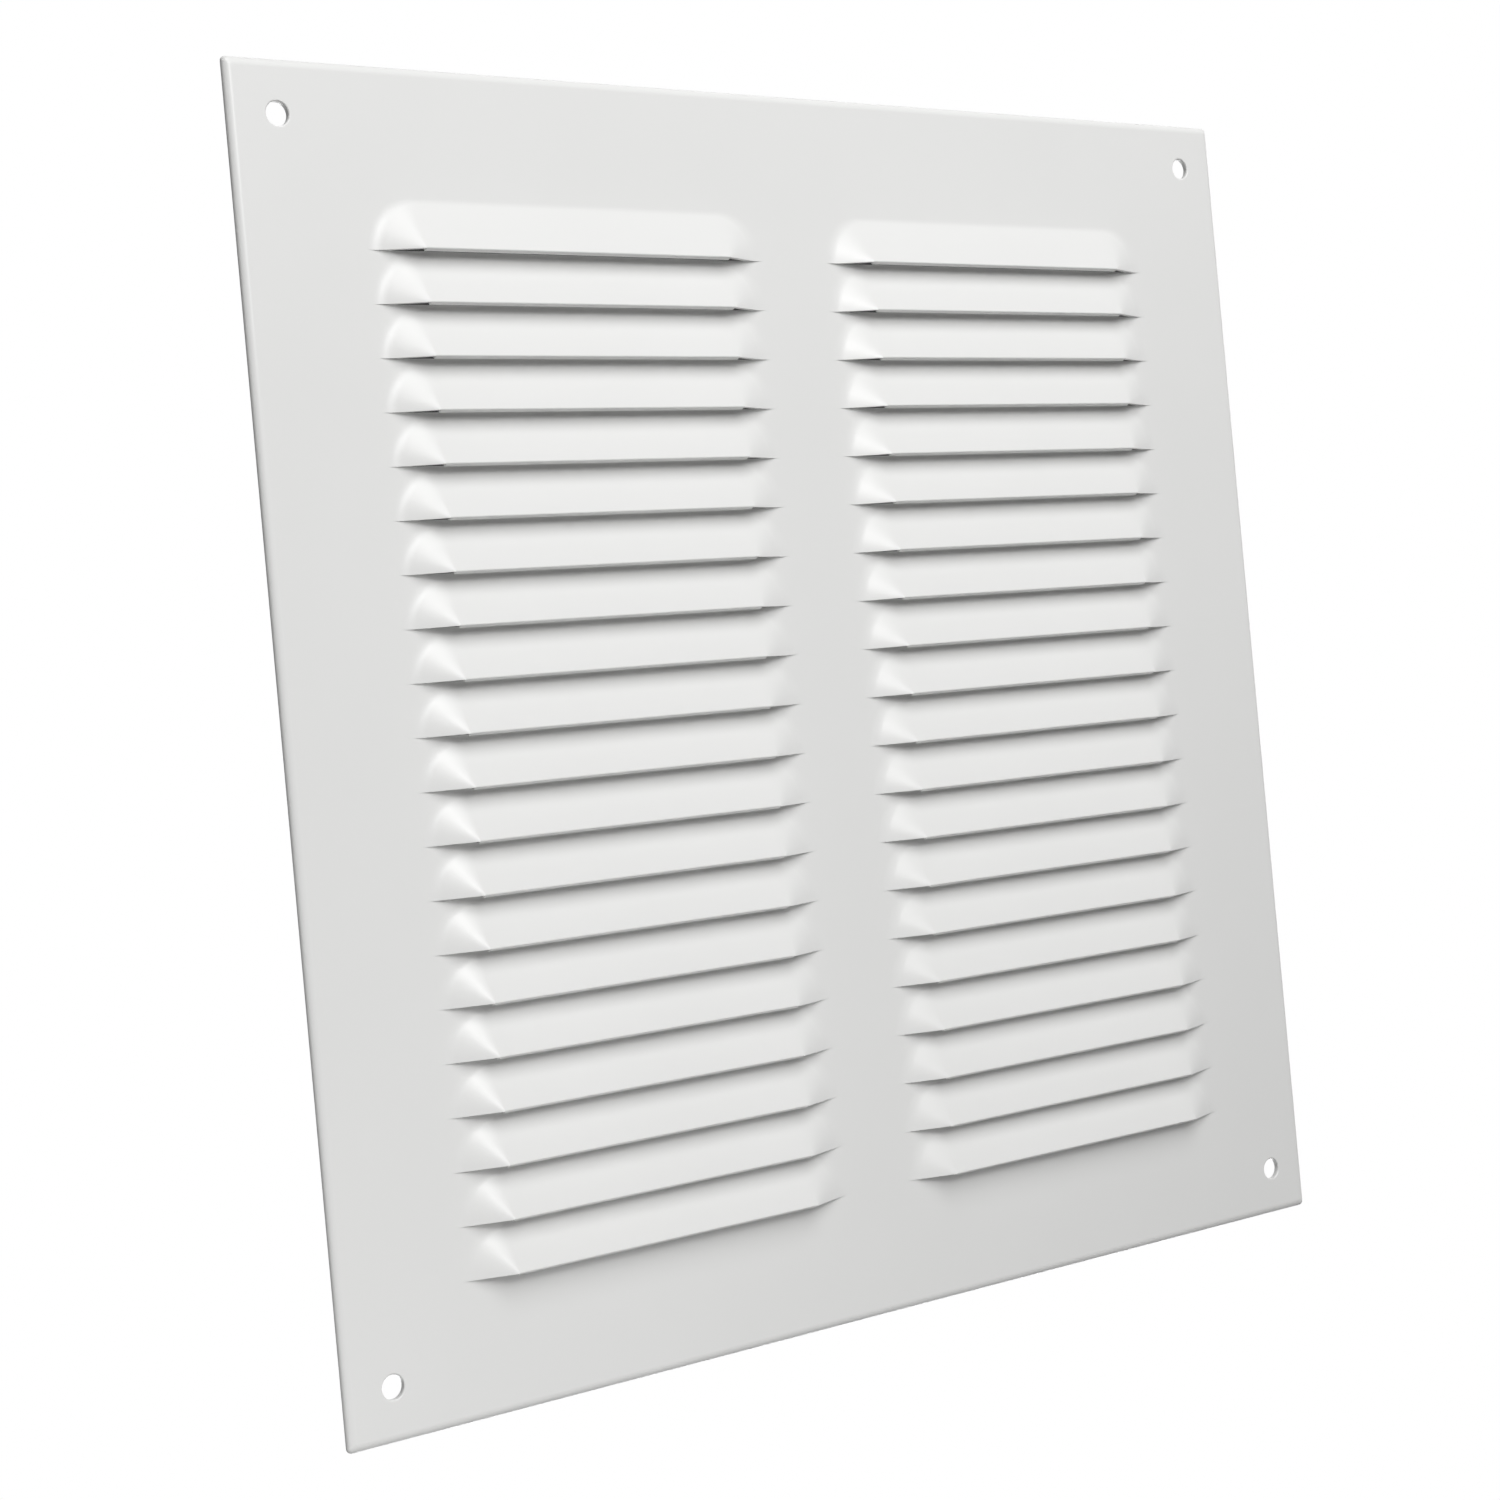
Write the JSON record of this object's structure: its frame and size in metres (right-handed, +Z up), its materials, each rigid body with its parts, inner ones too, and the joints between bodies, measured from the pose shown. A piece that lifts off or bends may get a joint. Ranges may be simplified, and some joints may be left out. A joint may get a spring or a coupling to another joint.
{
  "type": "ventilation grille",
  "caption": "Square sheet-metal ventilation plate with two columns of downward-opening pressed louvres and a screw hole near each corner.",
  "frame": {"origin": "centre of the flat back face, which lies on the wall", "axes": "+Z up, the front with the raised louvres faces -Y, +Y points into the wall, +X to the right seen from the front"},
  "size_m": [0.25, 0.0047, 0.25],
  "materials": {
    "white_paint": "satin white powder coat"
  },
  "bodies": {
    "root": {"louvre_plate": "white_paint"}
  },
  "joints": []
}
